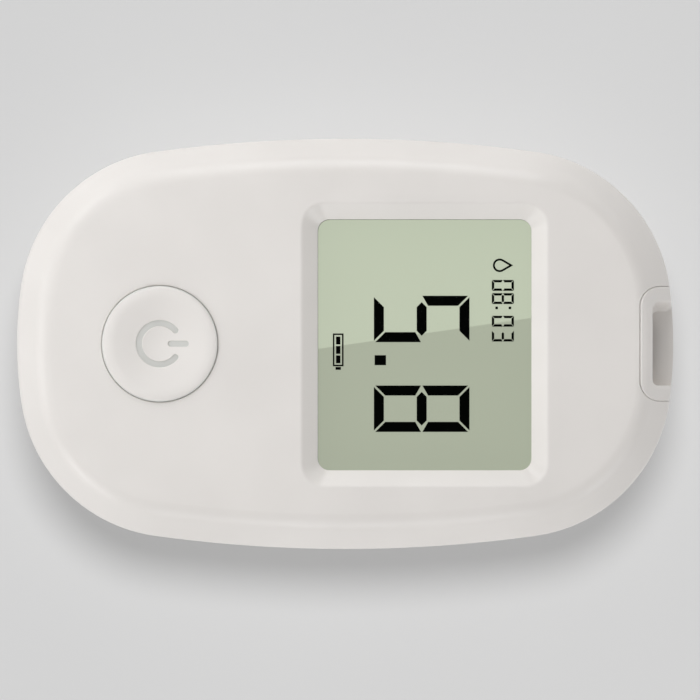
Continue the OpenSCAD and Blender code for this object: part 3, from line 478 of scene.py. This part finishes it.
# Stretched film laminated on the glass: faintly grey-green, with very weak draw streaks.
tint(tree, shader, 1.5, "#3f4439", "#3a3f35", stretch=(0.1, 1, 1))
roughen(tree, shader, 4, 0.1, 0.2)
let_light_through(sheet("display_polarizer", "lcd_polarizer", polarizer, "polarizer"))

# ---------------------------------------------------------------- window lens and its adhesive
# Hard-coated clear acrylic sheet, held under the face by a frame of double-sided tape.

acrylic, tree, shader = surface("hard_coated_acrylic", {"IOR": 1.49, "Alpha": 0.002})
# Clear and glossy; the alpha stands for dust and fine wiping marks, which run across the window.
tint(tree, shader, 1.2, "#454844", "#3b3e3a", stretch=(0.3, 1, 1))
roughen(tree, shader, 3, 0.04, 0.12)
dress(acrylic, "window_lens")
let_light_through(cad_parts["window_lens"])

tape, tree, shader = surface("black_tape", {"IOR": 1.47})
# Black foam tape with an open-celled cut edge.
tint(tree, shader, 0.4, "#1d1e1e", "#292a2a")
roughen(tree, shader, 0.5, 0.6, 0.8)
grain(tree, shader, 0.1, 0.01)
# Drawn a hair off centre, a dark line of it shows along the window's left and top sides: a painted shadow for
# the shade that the window's edge casts there.
painted_shadow_shift = [0.04, -0.04]
low, high = np.array(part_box("lens_adhesive")) / MM + [[0.01], [-0.01]]
window, window_size, window_radius = np.array([11.1, -0.15]), np.array([29.9, 35.1]), 1.65
lens_tape = solid("lens_tape", block(low, high))
combine(lens_tape, "DIFFERENCE", through(rounded(window + painted_shadow_shift, *window_size, window_radius),
                                         [(0, low[2] - past), (0, high[2] + past)]))
wear(lens_tape, tape)
fit(lens_tape, "root", "adhesive", "lens_adhesive")

# ---------------------------------------------------------------- front shell
# Upper half of the casing, moulded like the back. Its border climbs in a slope and a wide round to the
# flat face. The button's hole, the window's sloped frame and the strip port's notch have soft edges.

front_width, front_rise = 5.6, 7.0
shoulder, slope_tilt, swell, crest, crest_end = face - front_rise, np.radians(52), 1.9, 3.4, 5.1
under = face - wall
slope_width, slope_depth, lip_round, crest_round = 2.25, 1.65, 0.15, 0.8
button_x, button_radius, button_gap, hole_round = -25.95, 8.1, 0.05, 0.16
collar_inner, collar_wall, flange_bottom = 9.5, 1.0, 17.2
board_top, board_bosses, board_boss_radius = 12.2, [(-11.9, 19), (-11.9, -19), (-38.05, 0)], 2.1
case_thread, case_thread_top, board_thread, board_thread_top = 1.13, 14.7, 0.83, 16
groove_inset, groove_room = 0.85, 0.15
pocket, pocket_wall, pocket_depth, hole_lip = np.array([36.2, 41.4]), 0.8, 1.1, 0.12


def inset(flat):
    """Distance of points inside the outline, by the arc whose sector of the plan they lie in."""
    centres = (corner_centre, end_centre, side_centre)
    by_corner, by_end, by_side = [np.abs(flat) - centre for centre in centres]
    angle = np.arctan2(by_corner[:, 1], by_corner[:, 0])
    depth = corner_radius - np.linalg.norm(by_corner, axis=1)
    depth = np.where(angle < end_angle, end_radius - np.linalg.norm(by_end, axis=1), depth)
    return np.where(angle > side_angle, side_radius - np.linalg.norm(by_side, axis=1), depth)


def front_border():
    """The front's border as (offset, height) pairs: an arc from the upright wall, a straight slope that
    is tangent to it, and a wide arc from the slope into the level face."""
    t = np.linspace(0, np.pi / 2 - slope_tilt, 7)
    low = np.column_stack([swell * (np.cos(t) - 1), swell * np.sin(t)])
    t = np.linspace(slope_tilt, 0, 17)
    high = np.column_stack([crest * np.sin(t) - crest_end, face - crest * (1 - np.cos(t))])
    low[:, 1] += high[0, 1] - low[-1, 1] - np.tan(slope_tilt) * (low[-1, 0] - high[0, 0])
    return np.vstack([low, high])


front = front_border()


def face_height(flat):
    """Height of the front's outer surface: the face, its border, and a slope outside the outline."""
    depth = inset(flat)
    return np.where(depth < 0, front[0, 1] + 2 * depth, np.interp(depth, -front[:, 0], front[:, 1]))


def lip(plan, bottom, radius, flare, height, steps=6):
    """Levels of an upright column whose top edge is a quarter round that follows a surface: it flares
    outwards for a cut and draws in for a solid. Each level stays a hair above the one before."""
    levels = [ring(plan, 0, bottom)]
    for number, (out, rise) in enumerate(bend(radius, steps, 88)):
        levels.append(ring(plan, flare * out, lambda flat: np.maximum(
            height(flat) - radius + rise, bottom + 0.004 * (number + 1))))
    return np.array([*levels, ring(plan, flare * out, face + past)])


def window_frame():
    """Levels of the window's cut: upright wall, rounded lip, slope, and a wide round into the face."""
    tilt = np.arctan2(slope_depth, slope_width)
    t = np.linspace(0, np.pi / 2 - tilt, 5)
    low = face - slope_depth - lip_round * np.tan((np.pi / 2 - tilt) / 2)
    inner = np.column_stack([lip_round * (1 - np.cos(t)), low + lip_round * np.sin(t)])
    t = np.linspace(tilt, np.radians(1.5), 9)
    middle = slope_width + crest_round * np.tan(tilt / 2)
    outer = np.column_stack([middle - crest_round * np.sin(t), face - crest_round * (1 - np.cos(t))])
    profile = [(0, under - past), *inner, *outer, (outer[-1, 0], face + past)]
    return np.array([ring(rounded(window, *(window_size + 2 * out), window_radius + 0.65 * out, 10, 12), 0, z)
                     for out, z in profile])


front_outside = [*(bend(edge_round)[::-1] * [-1, -1] + [0, parting + edge_round]), *front]
front_inside = [(-wall, parting - past), *border(wall, front_width - wall, front_rise - wall, shoulder)]
front_shell = solid("front_shell", through(outline, front_outside))
combine(front_shell, "DIFFERENCE", through(outline, front_inside),
        through(outline, [(-groove_inset, parting - past), (-groove_inset, tongue_top + groove_room)]))
combine(front_shell, "UNION",
        *[through(circle(p), [(boss_radius, parting + 0.1), (boss_radius, under + 0.5)])
          for p in foot_places],
        *[through(circle(p), [(board_boss_radius, board_top), (board_boss_radius, under + 0.5)])
          for p in board_bosses],
        through(circle((button_x, 0), 96), [(collar_inner + collar_wall, flange_bottom),
                                            (collar_inner + collar_wall, under + 0.5)]),
        through(rounded(window, *pocket, 1.65), [(0, under - pocket_depth), (0, under + 0.5)]))
hole = [(0, flange_bottom - past), *(bend(hole_round, 6, 88) + [0, face - hole_round])]
hole = [(button_radius + button_gap + out, z) for out, z in [*hole, (hole[-1][0], face + past)]]
combine(front_shell, "DIFFERENCE",
        through(circle((button_x, 0), 96), [(collar_inner, flange_bottom - past), (collar_inner, under)]),
        block((*(window - pocket / 2 + pocket_wall), under - 2),
              (*(window + pocket / 2 - pocket_wall), under)),
        through(circle((button_x, 0), 128), hole), window_frame(),
        lip(port_hole, parting - past, hole_lip, 1, face_height),
        *[through(circle(p, 32), [(case_thread, parting - past), (case_thread, case_thread_top)])
          for p in foot_places],
        *[through(circle(p, 32), [(board_thread, board_top - past), (board_thread, board_thread_top)])
          for p in board_bosses])
wear(front_shell, casing)
fit(front_shell, "root", "shell", "top_shell")

# ---------------------------------------------------------------- strip port
# Separate ABS insert that closes the notch and follows the border. Its open recess guides the strip to
# the slot, and two ears behind the shell's wall hold it.

recess_x, recess_width, recess_radius, recess_floor, cove_width = 43.0, 11.7, 0.8, 12.4, 1.3
slot_half, slot_top, insert_lip, recess_lip = 3.4, 14.0, 0.34, 0.8
ear_low, ear_high = (41.8, -9.55, 11.5), (43.2, 9.55, 13)
insert = lip(notch(port_x, port_width, port_radius), parting + 0.1, insert_lip, -1, face_height)
port = solid("strip_port_insert", insert)
combine(port, "INTERSECT", through(outline, [(0, parting), *front]))
combine(port, "UNION", block(ear_low, ear_high))
recess = lip(notch(recess_x, recess_width, recess_radius, 8), recess_floor, recess_lip, 1, face_height)[1:]
# The far side of the recess is a cove: its foot is drawn in along a quarter ellipse.
foot = recess[0] * [1, 1, 0] + [0, 0, recess_floor]
share = np.linspace(0, 1, 9)[:-1, None]
cove = foot + share[..., None] * (recess[0] - foot)
cove[..., 1] -= (cove[..., 1] / recess_width + 0.5) * cove_width * (1 - np.sqrt(1 - (1 - share) ** 2))
combine(port, "DIFFERENCE", np.vstack([cove, recess]),
        block((port_x - past, -slot_half, recess_floor), (recess_x + past, slot_half, slot_top)))
wear(port, casing)
fit(port, "root", "shell", "strip_port")

# ---------------------------------------------------------------- button
# One ABS moulding, a shade lighter than the casing from handling: a dished cap with a round
# rim and an engraved power sign, a flange under the face and a stem that presses the switch.

cap_top, dish_radius, dish_depth, rim_drop = 20.5, 7.2, 1.2, 0.27
flange_radius, flange_top, skirt_inner, cap_under, stem_radius, stem_end = 9.2, 18.1, 6.9, 18.3, 1.8, 16.72
sign_depth, sign_radius, sign_half, sign_gap = 0.2, 2.9, 0.42, np.radians(32)


def stroke(start, end, steps=10):
    """Plan of a straight line with round ends, so that an offset is its half width."""
    start, end = np.array(start), np.array(end)
    angle = np.arctan2(*(end - start)[::-1])
    return np.vstack([arc(end, 0, angle - np.pi / 2, angle + np.pi / 2, steps),
                      arc(start, 0, angle + np.pi / 2, angle + 1.5 * np.pi, steps)])


def dish(distance):
    """Height of the cap at a distance from its axis. The slope grows evenly over the middle third, stays
    the same, and dies away evenly just inside the rim: the height is the running sum of that slope."""
    share = np.linspace(0, 1, 201)
    slope = np.interp(share, [0, 0.35, 0.86, 1], [0, 1, 1, 0])
    rise = np.cumsum(slope) - slope / 2
    return cap_top - dish_depth * (1 - np.interp(distance / dish_radius, share, rise / rise[-1]))


def dish_at(flat):
    """Height of the dish at places in the plan."""
    return dish(np.linalg.norm(flat - [button_x, 0], axis=1))


t = np.linspace(0, np.pi / 2, 17)
rim = np.column_stack([dish_radius + (button_radius - dish_radius) * np.cos(t),
                       cap_top - rim_drop * (1 - np.sin(t))])
r = np.linspace(dish_radius, 0.05, 40)[1:]
cap = [(stem_radius, stem_end), (stem_radius, cap_under), (skirt_inner, cap_under),
       (skirt_inner, flange_bottom), (flange_radius, flange_bottom), (flange_radius, flange_top),
       (button_radius, flange_top), *rim, *np.column_stack([r, dish(r)])]
button = solid("power_button", through(circle((button_x, 0), 128), cap))
# The sign's ring is a stroke along an arc: its outer side, a round end, its inner side and the other end.
turn = sign_gap + sign_half / sign_radius
way = arc((button_x, 0), sign_radius, turn, 2 * np.pi - turn, 72)
lower_end, upper_end = [arc(place[:2], 0, start, start + np.pi, 10)[1:-1]
                        for place, start in ((way[-1], 2 * np.pi - turn), (way[0], turn + np.pi))]
open_ring = np.vstack([way, lower_end, way[::-1] * [1, 1, -1, -1], upper_end])
bar = stroke((button_x + 0.4 * sign_radius + sign_half, 0), (button_x + 1.4 * sign_radius - sign_half, 0))


def groove(plan):
    """Levels of an engraved stroke: a foot that follows the dish and a softened upper edge."""
    levels = lip(np.hstack([plan[:, :2] + sign_half * plan[:, 2:], plan[:, 2:]]), 0, 0.1, 1, dish_at)
    levels[0, :, 2] = dish_at(levels[0, :, :2]) - sign_depth
    return levels


combine(button, "DIFFERENCE", groove(open_ring), groove(bar))
points = np.empty(3 * len(button.data.vertices))
button.data.vertices.foreach_get("co", points)
points = points.reshape(-1, 3) / MM
sunk = np.clip((dish_at(points[:, :2]) - points[:, 2]) / 0.08 - 1, 0, 1)
button.data.attributes.new("engraved", "FLOAT", "POINT").data.foreach_set("value", sunk)
pressed = casing_plastic("satin_abs_button", "#f0ece8", "#ece8e4")
# The foot of the engraving is coloured a darker grey.
tree = pressed.node_tree
shader = tree.nodes["Principled BSDF"]
engraved = add(tree, "Attribute", {"attribute_name": "engraved"}).outputs["Fac"]
sunk_grey = add(tree, "Mix", {"data_type": "RGBA"}, {0: engraved, 7: linear("#dadad6"),
                                                   6: shader.inputs["Base Color"].links[0].from_socket})
tree.links.new(sunk_grey.outputs[2], shader.inputs["Base Color"])
wear(button, pressed)
fit(button, "button", "button", "button_cap")

# ---------------------------------------------------------------- screws and cells
# Case and board screws are nickel-plated steel and stay as the CAD has them. Each coin cell is a drawn
# steel can, crimped over a gasket that holds the smaller cap.

nickel, tree, shader = surface("nickel_plated_steel", {"Metallic": 1.0})
# Rolled and tumbled plating: soft streaks half a millimetre wide, a little cloudier in patches.
tint(tree, shader, 0.5, "#c4c5c6", "#b2b3b5", stretch=(0.08, 1, 1))
roughen(tree, shader, 1.2, 0.2, 0.36)
grain(tree, shader, 0.4, 0.0008, stretch=(0.08, 1, 1))
dress(nickel, "case_screws", "board_screws")

cell_low, cell_high, can_round, crimp_round, crimp_drop = 2.5, 5.7, 0.5, 0.45, 0.75
# The can from its shallow dished foot over the crimped edge and the gasket's groove to the cap.
can = [(4.0, cell_low + 0.06), (7.8, cell_low + 0.06), (8.1, cell_low), (cell_radius - can_round, cell_low),
       *(bend(can_round)[::-1] * [-1, -1] + [cell_radius, cell_low + can_round]),
       (cell_radius, cell_high - crimp_drop),
       *(bend(crimp_round) * [-1, 1] + [cell_radius, cell_high - crimp_drop]),
       (9.2, cell_high - 0.35), (9.05, cell_high - 0.5), (8.9, cell_high - 0.35),
       (8.9, cell_high - 0.15), (8.75, cell_high), (2.0, cell_high)]
for name, node, side in (("coin_cell_far", "coin_cell_a", -1), ("coin_cell_near", "coin_cell_b", 1)):
    cell = solid(name, through(circle((side * cell_x, 0), 96), can))
    wear(cell, nickel)
    fit(cell, "root", "steel", node)

# ---------------------------------------------------------------- battery door
# Flat ABS plate in the back. Two tabs at its port end hook into the shell and it turns about their outer
# edge; a springy tongue at the other end snaps behind the shell. Four grooves give the fingertip a grip.

door_length, door_width, door_radius, door_edge = 46.4, 24.8, 3.0, 0.25
tab_x, tab_length, tab_width, tab_thick = 23.5, 2.6, 3.0, 0.7
tongue_x, tongue_thick, tongue_width, tongue_rise = -22.7, 0.8, 8.0, 2.4
grip_x, grip_pitch, grip_count, grip_half = -20.7, 1.6, 4, 4.1

plate = [*(bend(door_edge)[::-1] * [-1, -1] + [0, back + door_edge]), (0, door_top - 0.1), (-0.1, door_top)]
door = solid("battery_door_plate", through(rounded((0, 0), door_length, door_width, door_radius), plate))
combine(door, "UNION",
        *[through(rounded((tab_x, side * tab_y), tab_length, tab_width, 0.4),
                  [(0, door_top - tab_thick), (0, door_top)]) for side in (-1, 1)],
        through(rounded((tongue_x, 0), tongue_thick, tongue_width, 0.39),
                [(0, door_top - 0.5), (0, door_top + tongue_rise - 0.2), (-0.2, door_top + tongue_rise)]))
grip = [(0.6, -past), (0.6, -0.05), (0.46, 0.05), (0.4, 0.15), (0.36, 0.3), (0.2, 0.4)]
combine(door, "DIFFERENCE", *[through(stroke((x, -grip_half), (x, grip_half)), np.array(grip) + [0, back])
                              for x in grip_x + grip_pitch * np.arange(grip_count)])
wear(door, casing)
fit(door, "door", "shell", "battery_door")

# ---------------------------------------------------------------- foot pads
# Four matt silicone discs, die cut with a softened lower edge and stuck over the screw heads.

silicone, tree, shader = surface("matt_silicone_pad", {"IOR": 1.41})
# Dust and handling leave cloudy patches a few millimetres wide on the matt skin.
tint(tree, shader, 2.5, "#c6c6c3", "#bcbcb8")
roughen(tree, shader, 1.5, 0.55, 0.7)
grain(tree, shader, 0.15, 0.004)
pads = solid("silicone_pads", *[
    through(circle(place), [*(bend(0.25)[::-1] * [-1, -1] + [foot_radius, 0.25]),
                            (foot_radius, 0.95), (foot_radius - 0.05, 1.0)])
    for place in foot_places])
wear(pads, silicone)
fit(pads, "root", "foot", "foot_pads")

# ---------------------------------------------------------------- floor, light and camera
# A pale plain table that glows a little, and plain soft studio light. The camera looks straight down
# from far off, as the photograph does.

scene = bpy.context.scene
scene.view_settings.view_transform = "Standard"
table = bpy.data.meshes.new("table")
table.from_pydata([(-2, -2, 0), (2, -2, 0), (2, 2, 0), (-2, 2, 0)], [], [(0, 1, 2, 3)])
table = bpy.data.objects.new("table", table)
scene.collection.objects.link(table)
top, tree, shader = surface("pale_table", {"Roughness": 0.8, "Specular IOR Level": 0.0,
                                           "Emission Color": (1, 1, 1, 1), "Emission Strength": 0.345})
# Even pale grey that glows a little, like a light table; from underneath it isn't there.
tint(tree, shader, 60, "#969696", "#949494")
seen = add(tree, "MixShader", sockets={0: add(tree, "NewGeometry").outputs["Backfacing"],
                                       1: shader.outputs[0], 2: add(tree, "BsdfTransparent").outputs[0]})
tree.links.new(seen.outputs[0], tree.nodes["Material Output"].inputs["Surface"])
table.data.materials.append(top)

world = bpy.data.worlds.new("studio_tent")
world.use_nodes = True
tree = world.node_tree
# A white tent wall round the horizon that fades out at half the height; the softboxes light the rest.
horizon, tent_top = 1.05, 0.5
up = add(tree, "SeparateXYZ", sockets={0: add(tree, "TexCoord").outputs["Generated"]}).outputs["Z"]
glow = add(tree, "MapRange", sockets={"Value": up, "From Max": tent_top, "To Min": horizon, "To Max": 0})
tree.links.new(glow.outputs[0], tree.nodes["Background"].inputs["Color"])
scene.world = world

middle = np.array([0.66, -0.87, 11.5])
distance, view_width, sensor = 2500, 98.22, 36
for_table, for_meter = [bpy.data.collections.new(name) for name in ("for_table", "for_meter")]
for group in (for_table, for_meter):
    group.objects.link(table)
for_meter.collection_objects[0].light_linking.link_state = "EXCLUDE"


def lamp(name, kind, group, place, turn, power, **shape):
    """A lamp at a place in mm, turned by Euler angles, that lights only the table or only the meter."""
    light = bpy.data.lights.new(name, kind)
    light.energy = power
    for key, value in shape.items():
        setattr(light, key, value)
    piece = bpy.data.objects.new(name, light)
    piece.location, piece.rotation_euler = np.array(place) * MM, turn
    piece.visible_camera = False
    piece.light_linking.receiver_collection = group
    scene.collection.objects.link(piece)


# Softboxes 200 mm square round the meter: degrees round from +X, degrees from straight up, distance in mm,
# and the brightness that each alone gives a level white surface. The key stands close on the left.
boxes = [(158, 30, 220, 0.195), (90, 42, 500, 0.08), (270, 42, 500, 0.025), (0, 42, 500, 0.015)]
boxes += [(45 * number, 62, 500, share) for number, share in
          enumerate((0.03, 0.1, 0.08, 0.06, 0.08, 0.07, 0.08), 1)]
for azimuth, tilt, reach, share in boxes:
    a, t = np.radians([azimuth, tilt])
    way = np.array([np.sin(t) * np.cos(a), np.sin(t) * np.sin(a), np.cos(t)])
    lamp(f"softbox_{azimuth}_{tilt}", "AREA", for_meter, middle + reach * way, (0, t, a),
         share * (np.pi * reach * MM) ** 2 / np.cos(t), size=0.2)

# One sun lamp for the table only gives the short soft shadow along the meter's lower edge.
tilt, table_share = np.radians(20), 0.92
lamp("table_lamp", "SUN", for_table, (0, 0, 500), (-tilt, 0, 0), table_share * np.pi / np.cos(tilt),
     angle=np.radians(24))

# The lamp above mirrors in the display's ground: its edge falls on the line that crosses the display.
line_start, line_end = np.array([-3.7, -0.7]), np.array([25.9, 3.6])
lift, length, width, radiance, ground_top = 800, 250, 150, 1.7, 15.8
angle = np.arctan2(*(line_end - line_start)[::-1])
mirrored = middle[:2] + ((line_start + line_end) / 2 - middle[:2]) * (1 + lift / distance)
centre = mirrored + width / 2 * np.array([-np.sin(angle), np.cos(angle)])
lamp("overhead", "AREA", for_meter, (*centre, ground_top + lift), (0, 0, angle),
     radiance * np.pi * length * width * MM**2, shape="RECTANGLE", size=length * MM, size_y=width * MM)

camera = bpy.data.objects.new("camera", bpy.data.cameras.new("camera"))
camera.location = (middle + [0, 0, distance]) * MM
camera.data.sensor_width = sensor
camera.data.lens = sensor * distance / view_width
camera.data.clip_start, camera.data.clip_end = 0.1, 20
scene.collection.objects.link(camera)
scene.camera = camera
